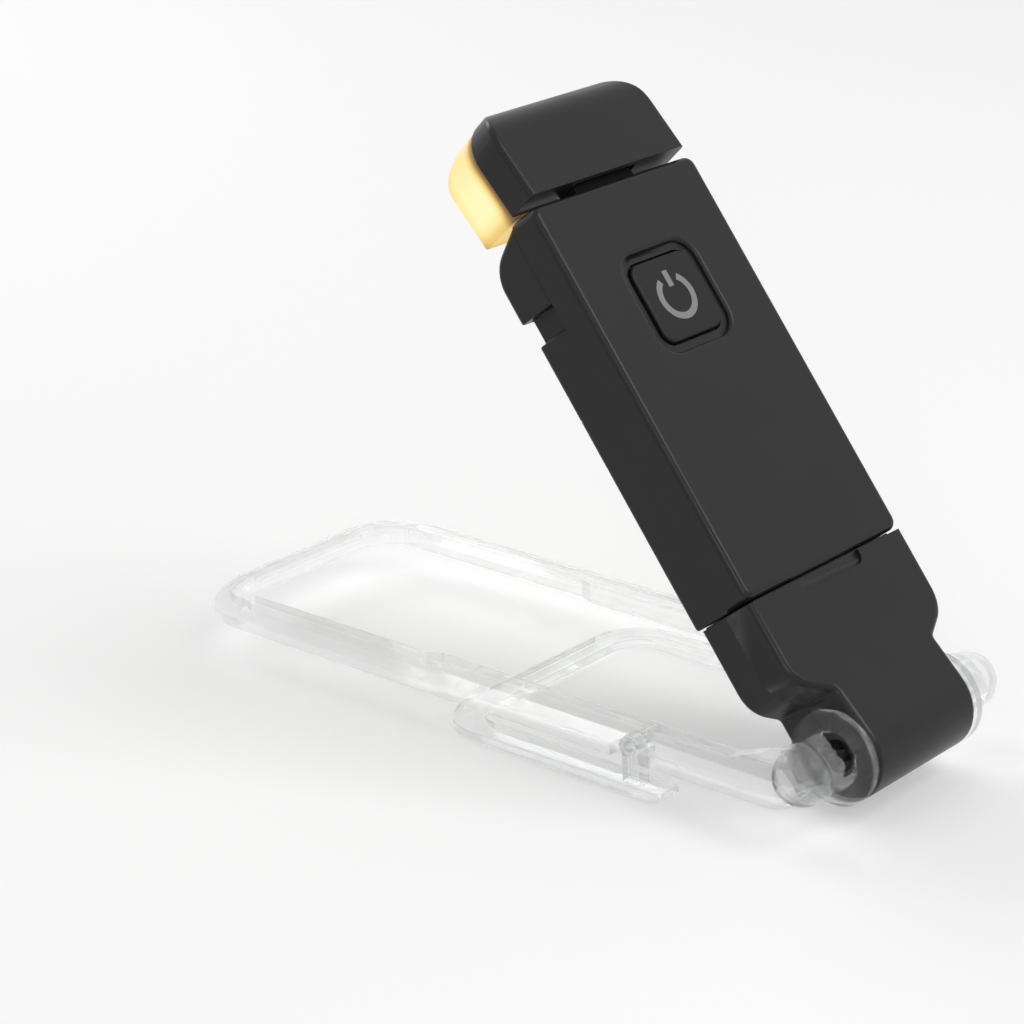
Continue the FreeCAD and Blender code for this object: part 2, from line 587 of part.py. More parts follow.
def make_board_chips():
    piece = new_piece("board_chips", UPRIGHT)
    chips = new_sketch(piece, "front", "-board_level")
    for share in CHIP_SHARES:
        middle = "(cell_bottom + cell_top) / 2 + %s * chip_pitch" % share
        draw_box(chips, "chip_size / 2", middle + " - chip_size / 2", middle + " + chip_size / 2")
    add(piece, chips, "chip_thick", back=True)
    return piece


def make_battery_pad():
    piece = new_piece("battery_pad", UPRIGHT)
    add(piece, draw_box(new_sketch(piece, "front", "board_face"), "cell_width / 2 - pad_margin",
                        "cell_bottom + pad_margin", "cell_top - pad_margin"), "pad_thick")
    return piece


def make_battery_cell():
    piece = new_piece("battery_cell", UPRIGHT)
    add(piece, draw_box(new_sketch(piece, "front", "pad_face"), "cell_width / 2", "cell_bottom", "cell_top"),
        "cell_thick")
    round_edges(piece, "cell_round", lying(x="cell_width / 2", y="-pad_face"),
                lying(x="cell_width / 2", y="-pad_face - cell_thick"))
    return piece


def make_tact_switch():
    piece = new_piece("tact_switch", UPRIGHT)
    half = "switch_size / 2"
    add(piece, draw_box(new_sketch(piece, "front", "board_face"), half, "button_height - " + half,
                        "button_height + " + half), "switch_height")
    well = draw_circle(new_sketch(piece, "front", "switch_face"), "0", "button_height", "plunger_radius + fit_gap")
    cut(piece, well, "plunger_dip + button_travel + seat_gap")
    return piece


def make_switch_plunger():
    piece = new_piece("switch_plunger", UPRIGHT)
    stem = draw_circle(new_sketch(piece, "front", "switch_face - plunger_dip"), "0", "button_height", "plunger_radius")
    add(piece, stem, "cap_back - switch_face + plunger_dip")
    return piece


def make_button_cap():
    piece = new_piece("button_cap", UPRIGHT)
    half = "button_size / 2"
    add(piece, draw_box(new_sketch(piece, "front", "cap_lip"), half, "button_height - " + half,
                        "button_height + " + half), "cap_face - cap_lip")
    round_edges(piece, "button_round", lying(x=half, z="button_height - " + half),
                lying(x=half, z="button_height + " + half))
    round_edges(piece, "button_edge", lying(y="-cap_face"))
    lip = half + " + button_flange"
    add(piece, draw_box(new_sketch(piece, "front", "cap_back"), lip, "button_height - (%s)" % lip,
                        "button_height + " + lip), "button_flange")
    return piece


def make_usb_plug_shell():
    piece = new_piece("usb_plug_shell", UPRIGHT)
    ring = new_sketch(piece, "plan", "plug_tip")
    draw_box(ring, "plug_width / 2", "-plug_front", "-plug_back")
    draw_box(ring, "plug_width / 2 - plug_wall", "plug_wall - plug_front", "-plug_back - plug_wall")
    add(piece, ring, "plug_reach + plug_tail")
    return piece


def make_usb_plug_core():
    piece = new_piece("usb_plug_core", UPRIGHT)
    core = draw_box(new_sketch(piece, "plan", "plug_tip + core_set_back"), "plug_width / 2 - plug_wall",
                    "-core_face", "-plug_back - plug_wall")
    add(piece, core, "plug_reach + plug_tail - core_set_back")
    return piece


def make_usb_contacts():
    piece = new_piece("usb_contacts", UPRIGHT)
    strips = new_sketch(piece, "front", "core_face")
    low = "plug_tip + contact_set_back"
    high = low + " + contact_length"
    for share in CONTACT_SHARES:
        left = "%s * contact_pitch - contact_width / 2" % share
        right = left + " + contact_width"
        draw_outline(strips, [(left, low), (right, low), (right, high), (left, high)])
    add(piece, strips, "contact_thick")
    return piece


def make_head_cover():
    piece = new_piece("head_cover", TILTED)
    add(piece, draw_box(new_sketch(piece, "front", "seam_level"), "head_width / 2", "head_bottom", "head_top"),
        "front_depth")
    round_edges(piece, "head_corner", lying(x="head_width / 2", z="head_top"))
    roll = [("-front_offset", "head_top - head_dome"), ("head_dome - front_offset", "head_top"),
            ("head_dome - front_offset", "head_top + over_run"), ("-front_offset - over_run", "head_top + over_run"),
            ("-front_offset - over_run", "head_top - head_dome")]
    waste = draw_outline(new_sketch(piece, "side", "0"), roll, {0: "-head_dome"})
    cut(piece, waste, "head_width + over_run", both=True)
    round_edges(piece, "head_edge", lying(x="head_width / 2", y="-front_offset"))
    inside = "front_offset - cover_wall"
    cavity = draw_box(new_sketch(piece, "front", "seam_level"), "head_width / 2 - cover_wall",
                      "head_bottom + cover_wall", "head_top - head_dome")
    cut(piece, cavity, inside + " - seam_level", back=False)
    bosses = draw_box(new_sketch(piece, "front", "seam_level"), "cheek_half", "head_bottom", "slot_top + cover_wall")
    add(piece, bosses, inside + " - seam_level")
    posts = new_sketch(piece, "front", "seam_level")
    for side in ("", "-"):
        draw_circle(posts, "%s(led_board_width / 2 - post_inset)" % side, "led_board_middle", "post_radius")
    add(piece, posts, inside + " - seam_level")
    slot = draw_box(new_sketch(piece, "front", "seam_level"), "slot_half", "head_bottom - over_run", "slot_top")
    cut(piece, slot, inside + " + slide_gap - seam_level", back=False)
    bore = draw_circle(new_sketch(piece, "side", "0"), "-head_pin_level", "head_pin_height", "head_pin_radius + fit_gap / 2")
    cut(piece, bore, "2 * cheek_half", both=True)
    return piece


def make_head_pin():
    piece = new_piece("head_pin", TILTED)
    pin = draw_circle(new_sketch(piece, "side", "0"), "-head_pin_level", "head_pin_height", "head_pin_radius")
    add(piece, pin, "2 * (cheek_half - seat_gap)", both=True)
    return piece


def make_head_lens():
    piece = new_piece("head_lens", TILTED)
    add(piece, draw_box(new_sketch(piece, "front", "seam_level"), "lens_half", "lens_bottom", "lens_top"),
        "lens_depth", back=True)
    round_edges(piece, "head_corner - lens_inset", lying(x="lens_half", z="lens_top"))
    roll = [("-lens_back - lens_round", "lens_top"), ("-lens_back", "lens_top - lens_round"),
            ("over_run - lens_back", "lens_top - lens_round"), ("over_run - lens_back", "lens_top + over_run"),
            ("-lens_back - lens_round", "lens_top + over_run")]
    waste = draw_outline(new_sketch(piece, "side", "0"), roll, {0: "-lens_round"})
    cut(piece, waste, "head_width + over_run", both=True)
    round_edges(piece, "lens_edge", lying(x="lens_half", y="-lens_back"), lying(y="-lens_back", z="lens_bottom"))
    glow = draw_box(new_sketch(piece, "front", "seam_level"), "lens_half - lens_wall", "lens_bottom + lens_wall",
                    "lens_top - lens_round")
    cut(piece, glow, "lens_depth - lens_wall")
    bay = draw_box(new_sketch(piece, "front", "seam_level"), "led_board_width / 2 + seat_gap", "led_board_bottom",
                   "led_board_top + seat_gap")
    cut(piece, bay, "board_thick + led_thick + slide_gap")
    room = draw_box(new_sketch(piece, "front", "seam_level"), "slot_half", "lens_bottom - over_run", "slot_top")
    cut(piece, room, "tongue_swing")
    return piece


def make_led_board():
    piece = new_piece("led_board", TILTED)
    add(piece, draw_box(new_sketch(piece, "front", "seam_level"), "led_board_width / 2", "led_board_bottom",
                        "led_board_top"), "board_thick", back=True)
    return piece


def make_led_chips():
    piece = new_piece("led_chips", TILTED)
    chips = new_sketch(piece, "front", "led_board_back")
    low = "led_board_middle - led_height / 2"
    high = "led_board_middle + led_height / 2"
    for share in LED_SHARES:
        left = "%s * led_pitch - led_width / 2" % share
        right = left + " + led_width"
        draw_outline(chips, [(left, low), (right, low), (right, high), (left, high)])
    add(piece, chips, "led_thick", back=True)
    return piece


def make_frame_loop():
    piece = new_piece("frame_loop", FLAT)
    taper = [("0", "arm_bottom"), ("elbow_radius * cos(root_turn)", "elbow_radius * sin(root_turn)"),
             ("root_length", "arm_top"), ("root_length", "arm_bottom")]
    add(piece, draw_outline(new_sketch(piece, "side", "0"), taper), "2 * rib_half", both=True)
    between = draw_box(new_sketch(piece, "front", "0"), "half_width + slide_gap", "-barrel_radius",
                       "barrel_radius")
    cut(piece, between, "2 * (root_length + over_run)", both=True)
    add(piece, draw_box(new_sketch(piece, "plan", "arm_bottom"), "rib_half", "0", "rib_end"), "arm_height")
    round_edges(piece, "loop_corner - flange_width", lying(x="rib_half", y="rib_end"))
    add(piece, draw_box(new_sketch(piece, "plan", "arm_bottom"), "loop_half", "0", "loop_length"), "flange_thick")
    round_edges(piece, "loop_corner", lying(x="loop_half", y="loop_length"))
    round_edges(piece, "flange_width - seat_gap", lying(x="loop_half", y="0"))
    step = "notch_height + notch_width * %s" % STEP_SHARE
    inside = [("arm_inside", "-barrel_radius"), ("arm_inside", "notch_height"), ("arm_far_inside", step),
              ("arm_far_inside", "loop_inside - inner_corner"), ("arm_far_inside - inner_corner", "loop_inside")]
    twin = [("-(%s)" % across, up) for across, up in reversed(inside)]
    window = draw_outline(new_sketch(piece, "plan", "arm_top"), inside + twin, {3: "inner_corner", 5: "inner_corner"})
    cut(piece, window, "arm_height + over_run")
    for side in ("", "-"):
        gap = [("rib_half", "clip_pin_reach - ear_slot"), ("loop_half + over_run", "clip_pin_reach - ear_slot"),
               ("loop_half + over_run", "clip_pin_reach + ear_slot"), ("rib_half", "clip_pin_reach + ear_slot")]
        gap = [("%s(%s)" % (side, across), up) for across, up in gap]
        cut(piece, draw_outline(new_sketch(piece, "plan", "arm_top"), gap), "arm_height + over_run")
    seats = draw_circle(new_sketch(piece, "side", "0"), "clip_pin_reach", "clip_pin_level", "clip_pin_radius")
    cut(piece, seats, "loop_width", both=True)
    elbow = [("stub_end", "0"), ("stub_end", "stub_radius"), ("disc_inside", "stub_radius"),
             ("disc_inside", "barrel_radius"), ("disc_outside", "barrel_radius"), ("disc_outside", "elbow_radius"),
             ("elbow_turn", "elbow_radius"), ("loop_half", "0")]
    profile = draw_outline(new_sketch(piece, "plan", "0"), elbow, {6: "-elbow_radius"})
    mirror(piece, [spin(piece, profile, "H_Axis")])
    return piece


def make_clip_hinge_pins():
    piece = new_piece("clip_hinge_pins", FLAT)
    shank = draw_circle(new_sketch(piece, "side", "rib_half - clip_pin_seat"), "clip_pin_reach", "clip_pin_level",
                        "clip_pin_radius")
    body = add(piece, shank, "clip_pin_seat + slide_gap + ear_thick + seat_gap")
    cap = draw_circle(new_sketch(piece, "side", "ear_outside + seat_gap"), "clip_pin_reach", "clip_pin_level",
                      "clip_pin_head")
    head = add(piece, cap, "clip_head_thick")
    mirror(piece, [body, head])
    return piece


def make_page_clip():
    piece = new_piece("page_clip", FLAT)
    add(piece, draw_box(new_sketch(piece, "plan", "clip_bottom"), "clip_half", "clip_start", "clip_end"), "clip_thick")
    round_edges(piece, "clip_corner", lying(x="clip_half", y="clip_end"))
    round_edges(piece, "clip_heel", lying(x="clip_half", y="clip_start"))
    inside = draw_box(new_sketch(piece, "plan", "clip_top"), "clip_half - clip_bar", "clip_start - over_run",
                      "clip_end - clip_bar")
    cut(piece, inside, "clip_thick + over_run")
    round_edges(piece, "clip_corner / 2", lying(x="clip_half - clip_bar", y="clip_end - clip_bar"))
    leg = [("clip_pin_reach - ear_width / 2", "clip_bottom"), ("clip_pin_reach + ear_width / 2", "clip_bottom"),
           ("clip_pin_reach + ear_width / 2", "clip_pin_level"), ("clip_pin_reach - ear_width / 2", "clip_pin_level")]
    ear = add(piece, draw_outline(new_sketch(piece, "side", "ear_inside"), leg), "ear_thick")
    eye = add(piece, draw_circle(new_sketch(piece, "side", "ear_inside"), "clip_pin_reach", "clip_pin_level",
                                 "ear_width / 2"), "ear_thick")
    mirror(piece, [ear, eye])
    bore = draw_circle(new_sketch(piece, "side", "0"), "clip_pin_reach", "clip_pin_level", "clip_pin_radius + fit_gap")
    cut(piece, bore, "loop_width", both=True)
    return piece


PIECES = [
    make_frame_loop(),
    make_clip_hinge_pins(),
    make_page_clip(),
    make_base_front(),
    make_base_back(),
    make_front_shell(),
    make_back_shell(),
    make_main_board(),
    make_board_chips(),
    make_tact_switch(),
    make_battery_pad(),
    make_battery_cell(),
    make_usb_plug_shell(),
    make_usb_plug_core(),
    make_usb_contacts(),
    make_button_cap(),
    make_switch_plunger(),
    make_head_cover(),
    make_head_pin(),
    make_head_lens(),
    make_led_board(),
    make_led_chips(),
]

doc.recompute()
for item in doc.Objects:
    if "Invalid" in item.State or "Error" in item.State:
        raise RuntimeError("%s failed: %s" % (item.Name, item.State))
for piece in PIECES:
    if piece.Shape.isNull() or not piece.Shape.isValid():
        raise RuntimeError("%s has no valid shape" % piece.Label)

os.makedirs("parts", exist_ok=True)
for piece in PIECES:
    piece.Shape.exportStep("parts/%s.step" % piece.Label)
    print("%-18s %2d solid(s) %9.2f mm3" % (piece.Label, len(piece.Shape.Solids), piece.Shape.Volume))
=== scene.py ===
# %% [markdown]
# A clip-on reading lamp: a black satin light that leans over a clear plastic loop, with a warm
# lens behind its head. The moving bodies come ready made from the CAD model. This lesson gives
# them finished surfaces, a printed power symbol, soft studio light and a camera. Everything is in
# metres, in the frame of the CAD.

# %% Load the CAD model as a fixed frame
import json
from math import atan2, cos, degrees, pi, radians, sin

import bpy
from mathutils import Euler, Matrix, Vector

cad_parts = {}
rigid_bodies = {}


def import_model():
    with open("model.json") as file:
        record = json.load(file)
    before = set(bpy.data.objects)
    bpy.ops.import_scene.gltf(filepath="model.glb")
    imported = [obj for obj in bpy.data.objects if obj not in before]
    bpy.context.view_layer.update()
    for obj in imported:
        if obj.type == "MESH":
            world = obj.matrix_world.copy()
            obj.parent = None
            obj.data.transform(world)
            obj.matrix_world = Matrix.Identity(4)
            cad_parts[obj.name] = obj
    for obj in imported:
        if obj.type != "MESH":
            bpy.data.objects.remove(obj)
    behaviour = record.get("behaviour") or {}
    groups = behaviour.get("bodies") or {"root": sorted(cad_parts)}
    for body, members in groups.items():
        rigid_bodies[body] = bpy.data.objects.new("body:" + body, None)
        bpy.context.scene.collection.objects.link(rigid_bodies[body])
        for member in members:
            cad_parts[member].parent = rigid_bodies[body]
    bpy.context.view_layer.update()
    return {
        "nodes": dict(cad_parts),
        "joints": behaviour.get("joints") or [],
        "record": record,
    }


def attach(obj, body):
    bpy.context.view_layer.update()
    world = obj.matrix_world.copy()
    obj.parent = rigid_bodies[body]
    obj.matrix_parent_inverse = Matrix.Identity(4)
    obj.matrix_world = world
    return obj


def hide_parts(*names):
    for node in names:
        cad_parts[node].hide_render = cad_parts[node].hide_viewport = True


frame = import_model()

MM = 0.001
ORIGIN = (0, 0, 0)

# %% [markdown]
# The lamp leans on its hinge, so upright measures such as "62 mm above the hinge" have to be
# turned into the frame. They could be typed in as finished coordinates, but the joints already
# hold the hinge point and the leaning direction, and reading them from there keeps the scene right
# if the lean changes.

# %% Read the lamp's own directions from the joints
HEAD_REST_TILT = radians(7.0)
joints = {joint["name"]: joint for joint in frame["joints"]}
hinge_point = Vector(joints["frame_hinge"]["pos_m"])
head_pin_point = Vector(joints["head_tilt"]["pos_m"])
rise = Vector(joints["body_pull"]["axis"])
facing = -Vector(joints["button_press"]["axis"])
lean = atan2(rise.z, rise.y)
head_lean = lean - HEAD_REST_TILT


def lamp_point(across, up, out):
    """A point of the leaning lamp, from millimetres across, up from the hinge and out in front."""
    return hinge_point + (Vector((across, 0, 0)) + rise * up + facing * out) * MM


print("lean of the body:", round(degrees(lean), 1), "degrees")

# %% [markdown]
# The camera stands in front of the lamp on its left, a little above it, and is turned slightly
# about its own view line. It could be placed by eye, but the corners of the housing and the edges
# of the loop fix one viewing direction, distance and lens between them, so these numbers were
# solved from those corners.

# %% Place the camera
CAMERA_AZIMUTH = radians(-46.77)
CAMERA_ELEVATION = radians(20.8)
CAMERA_ROLL = radians(-2.86)
CAMERA_DISTANCE = 0.4216
CAMERA_TARGET = Vector((0, 0.01206, 0.02435))
CAMERA_NEAR_LIMIT = 0.01
FOCAL_PIXELS = 3000
IMAGE_PIXELS = 1024
SENSOR_WIDTH = 36.0

backward = Vector((sin(CAMERA_AZIMUTH) * cos(CAMERA_ELEVATION),
                   -cos(CAMERA_AZIMUTH) * cos(CAMERA_ELEVATION),
                   sin(CAMERA_ELEVATION)))
camera_data = bpy.data.cameras.new("studio_camera")
camera_data.sensor_width = SENSOR_WIDTH
camera_data.lens = FOCAL_PIXELS / IMAGE_PIXELS * SENSOR_WIDTH
camera_data.clip_start = CAMERA_NEAR_LIMIT
camera = bpy.data.objects.new("studio_camera", camera_data)
bpy.context.scene.collection.objects.link(camera)
level_view = backward.to_track_quat("Z", "Y").to_matrix()
rolled_view = level_view @ Matrix.Rotation(CAMERA_ROLL, 3, "Z")
camera_place = Matrix.Translation(CAMERA_TARGET + backward * CAMERA_DISTANCE)
camera.matrix_world = camera_place @ rolled_view.to_4x4()
bpy.context.scene.camera = camera
bpy.context.scene.view_settings.view_transform = "Standard"
print("lens:", round(camera_data.lens, 1), "mm")

# %% [markdown]
# In a white room, what the camera, a polished surface or a clear one looks at directly is close to
# white. The light that only falls on the lamp has to be dimmer, so that the black housing keeps
# its depth. One level for both would lose one of them. The renderer knows the kind of each ray, so
# the floor and the room have two levels each, chosen by the ray.

# %% Write helpers for node trees
def combine(tree, operation, first, second):
    """The result of a maths node on two outputs of a node tree."""
    maths = tree.nodes.new("ShaderNodeMath")
    maths.operation = operation
    tree.links.new(first, maths.inputs[0])
    tree.links.new(second, maths.inputs[1])
    return maths.outputs[0]


def level_by_ray(tree, bounced, direct):
    """One level for light that bounces, and another for what is looked at directly."""
    ray = tree.nodes.new("ShaderNodeLightPath")
    mirrored = combine(tree, "MAXIMUM", ray.outputs["Is Glossy Ray"],
                       ray.outputs["Is Transmission Ray"])
    looked_at = combine(tree, "MAXIMUM", mirrored, ray.outputs["Is Camera Ray"])
    level = tree.nodes.new("ShaderNodeMapRange")
    level.inputs["To Min"].default_value = bounced
    level.inputs["To Max"].default_value = direct
    tree.links.new(looked_at, level.inputs["Value"])
    return level.outputs["Result"]


def adjust(paint, values):
    """Set plain values on the main shader of a material."""
    shader = paint.node_tree.nodes["Principled BSDF"]
    for socket, value in values.items():
        shader.inputs[socket].default_value = value


def feed(paint, output, socket):
    """Link an output to a socket of the main shader of a material."""
    shader = paint.node_tree.nodes["Principled BSDF"]
    paint.node_tree.links.new(output, shader.inputs[socket])


# %% Lay the floor
WHITE = (1, 1, 1, 1)
FLOOR_SIZE = 6.0
FLOOR_DROP = 0.1 * MM
FLOOR_TONE = (0.93, 0.93, 0.93, 1)
FLOOR_LIFT = 0.16
bpy.ops.object.select_all(action="DESELECT")
bpy.ops.mesh.primitive_plane_add(size=FLOOR_SIZE, location=(0, 0, -FLOOR_DROP))
floor = bpy.context.object
floor.name = "floor"
floor_paint = bpy.data.materials.new("floor_paint")
floor_paint.use_nodes = True
adjust(floor_paint, {"Base Color": FLOOR_TONE, "Roughness": 0.9, "Specular IOR Level": 0.1,
                     "Emission Color": WHITE})
feed(floor_paint, level_by_ray(floor_paint.node_tree, 0, FLOOR_LIFT), "Emission Strength")
floor.data.materials.append(floor_paint)
print("floor:", FLOOR_SIZE, "m across")

# %% Fill the room with even light
ROOM_LIGHT = 0.42
ROOM_SEEN = 1.0
world = bpy.data.worlds.new("white_room")
world.use_nodes = True
bpy.context.scene.world = world
room = world.node_tree
room_background = room.nodes["Background"]
room_background.inputs["Color"].default_value = WHITE
room.links.new(level_by_ray(room, ROOM_LIGHT, ROOM_SEEN), room_background.inputs["Strength"])
print("room light:", ROOM_LIGHT)

# %% [markdown]
# Small lamps would print hard white dots on satin plastic, so the lights are wide sheets, as a
# photographer's softboxes are: one high in front, one near the camera that draws a thin line along
# the rounded edges, and one behind that lifts the far side. Each row gives a name, a place, a
# width and a power in watts.

# %% Hang the softboxes
SOFTBOXES = [
    ("key_softbox", (0.25, -0.75, 0.85), 0.6, 5.0),
    ("fill_softbox", (-0.58, -0.5, 0.31), 0.2, 0.8),
    ("rim_softbox", (0.1, 0.8, 0.6), 0.45, 2.4),
]
for name, place, width, power in SOFTBOXES:
    light = bpy.data.lights.new(name, "AREA")
    light.shape = "SQUARE"
    light.size = width
    light.energy = power
    softbox = bpy.data.objects.new(name, light)
    softbox.location = place
    softbox.rotation_euler = (Vector(place) - CAMERA_TARGET).to_track_quat("Z", "Y").to_euler()
    bpy.context.scene.collection.objects.link(softbox)
    print(name, power, "W")

# %% [markdown]
# Moulded plastic is never one flat colour. The mould's spark-eroded skin leaves a fine grain, and
# the gloss drifts a little where the plastic cooled at a different speed. Each plastic could carry
# its own noise, but they all come from the same kind of mould, so the grain is one node group with
# its own values in each.

# %% Build the moulded grain group
GRAIN_DETAIL = 3.0
PATCH_DETAIL = 2.0
PATCH_LOW = 0.3
PATCH_HIGH = 0.7
grain = bpy.data.node_groups.new("moulded_grain", "ShaderNodeTree")
for label in ("Grain Scale", "Patch Scale", "Low Gloss", "High Gloss"):
    grain.interface.new_socket(label, in_out="INPUT", socket_type="NodeSocketFloat")
for label in ("Roughness", "Height", "Tone"):
    grain.interface.new_socket(label, in_out="OUTPUT", socket_type="NodeSocketFloat")
grain_in = grain.nodes.new("NodeGroupInput")
grain_out = grain.nodes.new("NodeGroupOutput")
spot = grain.nodes.new("ShaderNodeTexCoord")
fine = grain.nodes.new("ShaderNodeTexNoise")
fine.inputs["Detail"].default_value = GRAIN_DETAIL
patch = grain.nodes.new("ShaderNodeTexNoise")
patch.inputs["Detail"].default_value = PATCH_DETAIL
gloss = grain.nodes.new("ShaderNodeMapRange")
gloss.inputs["From Min"].default_value = PATCH_LOW
gloss.inputs["From Max"].default_value = PATCH_HIGH
for texture, scale in ((fine, "Grain Scale"), (patch, "Patch Scale")):
    grain.links.new(spot.outputs["Object"], texture.inputs["Vector"])
    grain.links.new(grain_in.outputs[scale], texture.inputs["Scale"])
grain.links.new(patch.outputs["Fac"], gloss.inputs["Value"])
grain.links.new(grain_in.outputs["Low Gloss"], gloss.inputs["To Min"])
grain.links.new(grain_in.outputs["High Gloss"], gloss.inputs["To Max"])
grain.links.new(gloss.outputs["Result"], grain_out.inputs["Roughness"])
grain.links.new(fine.outputs["Fac"], grain_out.inputs["Height"])
grain.links.new(patch.outputs["Fac"], grain_out.inputs["Tone"])
print("group:", grain.name)

# %% Write a helper that makes a moulded material
GRAIN_SCALE = 2600.0
PATCH_SCALE = 90.0
BUMP_STRENGTH = 0.6


def moulded(name, dark, light, low_gloss, high_gloss, grain_depth,
            grain_scale=GRAIN_SCALE, patch_scale=PATCH_SCALE):
    """A material with the mould's grain: two tones, a rougher and a smoother gloss, and a depth."""
    paint = bpy.data.materials.new(name)
    paint.use_nodes = True
    tree = paint.node_tree
    skin = tree.nodes.new("ShaderNodeGroup")
    skin.node_tree = grain
    skin.inputs["Grain Scale"].default_value = grain_scale
    skin.inputs["Patch Scale"].default_value = patch_scale
    skin.inputs["Low Gloss"].default_value = low_gloss
    skin.inputs["High Gloss"].default_value = high_gloss
    tones = tree.nodes.new("ShaderNodeMix")
    tones.data_type = "RGBA"
    tones.inputs["A"].default_value = (*dark, 1)
    tones.inputs["B"].default_value = (*light, 1)
    bump = tree.nodes.new("ShaderNodeBump")
    bump.inputs["Strength"].default_value = BUMP_STRENGTH
    bump.inputs["Distance"].default_value = grain_depth
    tree.links.new(skin.outputs["Tone"], tones.inputs["Factor"])
    tree.links.new(skin.outputs["Height"], bump.inputs["Height"])
    feed(paint, tones.outputs["Result"], "Base Color")
    feed(paint, skin.outputs["Roughness"], "Roughness")
    feed(paint, bump.outputs["Normal"], "Normal")
    return paint


# %% [markdown]
# The housing is black ABS with a satin skin, the button the same plastic with a finer and duller
# one. Black plastic in a white room shows mostly reflections, so the colour itself is very dark
# and the specular level is lowered to the soft, greasy look of a textured mould.

# %% Mix the black plastics
SATIN_GRAIN = 0.004 * MM
FINE_GRAIN = 0.003 * MM
black_plastic = moulded("black_plastic", dark=(0.010, 0.010, 0.010), light=(0.014, 0.014, 0.0138),
                        low_gloss=0.36, high_gloss=0.28, grain_depth=SATIN_GRAIN)
adjust(black_plastic, {"Specular IOR Level": 0.24})
button_plastic = moulded("button_plastic", dark=(0.009, 0.009, 0.009), light=(0.013, 0.013, 0.013),
                         low_gloss=0.42, high_gloss=0.34, grain_depth=FINE_GRAIN)
adjust(button_plastic, {"Specular IOR Level": 0.2})
print("plastics:", black_plastic.name, button_plastic.name)

# %% [markdown]
# The loop, the clip and their pins are clear plastic. A clear part shows only by how it bends and
# reflects the room. Full bending in such thin bars drew black streaks along them. So the material
# bends light less than solid plastic does and lets part of it straight through. A very faint
# ripple is what a surface has where the plastic flowed.

# %% Mix the clear plastic
RIPPLE_DEPTH = 0.02 * MM
RIPPLE_SCALE = 160.0
FLOW_SCALE = 60.0
clear_plastic = moulded("clear_plastic", dark=(0.84, 0.86, 0.85), light=(0.9, 0.915, 0.905),
                        low_gloss=0.05, high_gloss=0.03, grain_depth=RIPPLE_DEPTH,
                        grain_scale=RIPPLE_SCALE, patch_scale=FLOW_SCALE)
adjust(clear_plastic, {"Transmission Weight": 1.0, "IOR": 1.3, "Alpha": 0.56})
print("clear:", clear_plastic.name)

# %% [markdown]
# The lens is milky plastic with a row of warm lights behind it. Real light through a milky block
# scatters many times and is slow to render. The look is simple, though: pale yellow in the middle,
# amber towards the rims, and a brown line where the black cover shades it. So the lens glows by
# itself, and the colour of the glow follows the distance from the cover, the foot, the back and
# the top. These are measured upright from the head's pin: up along Y and out to the front along Z.

# %% Turn the lens's coordinates upright
LENS_FRONT = -1.9 * MM
LENS_FOOT = -4.0 * MM
LENS_TOP = 9.5 * MM
LENS_SOLID_DEPTH = 6.3 * MM
LENS_STRETCH = 1.25
LENS_BACK = LENS_FRONT - LENS_SOLID_DEPTH * LENS_STRETCH
warm_lens = moulded("warm_lens", dark=(0.2, 0.13, 0.05), light=(0.26, 0.17, 0.07),
                    low_gloss=0.4, high_gloss=0.3, grain_depth=SATIN_GRAIN)
lens_tree = warm_lens.node_tree
head_turn = Euler((-head_lean, 0, 0))
lens_spot = lens_tree.nodes.new("ShaderNodeTexCoord")
upright = lens_tree.nodes.new("ShaderNodeMapping")
upright.inputs["Rotation"].default_value = head_turn
upright.inputs["Location"].default_value = -(head_turn.to_matrix() @ head_pin_point)
split = lens_tree.nodes.new("ShaderNodeSeparateXYZ")
lens_tree.links.new(lens_spot.outputs["Object"], upright.inputs["Vector"])
lens_tree.links.new(upright.outputs["Vector"], split.inputs["Vector"])
print("lens depth:", round((LENS_FRONT - LENS_BACK) / MM, 2), "mm")

# %% Light the lens
SHADED_DEPTH = 0.3 * MM
BAND_DEPTH = 2.6 * MM
RIM_DEPTH = 3.4 * MM
TOP_RIM_DEPTH = 8.0 * MM
BACK_RIM_DEPTH = 2.6 * MM
FOOT_SHARE = 0.3
TOP_SHARE = 0.45
BACK_SHARE = 0.5
GLOW_STRENGTH = 0.86
DARKEST_GLOW = (0.02, 0.008, 0.001, 1)
BRIGHTEST_GLOW = (1.0, 0.95, 0.52, 1)
GLOW_STEPS = [
    (0.1, (0.34, 0.17, 0.03, 1)),
    (0.3, (0.78, 0.52, 0.13, 1)),
    (0.6, (0.95, 0.8, 0.34, 1)),
]


def fade(output, start, end, low_share=0.0):
    """A soft step from a low share at start to 1 at end along one of the lens's own directions."""
    step = lens_tree.nodes.new("ShaderNodeMapRange")
    step.interpolation_type = "SMOOTHSTEP"
    step.inputs["From Min"].default_value = start
    step.inputs["From Max"].default_value = end
    step.inputs["To Min"].default_value = low_share
    lens_tree.links.new(split.outputs[output], step.inputs["Value"])
    return step.outputs["Result"]


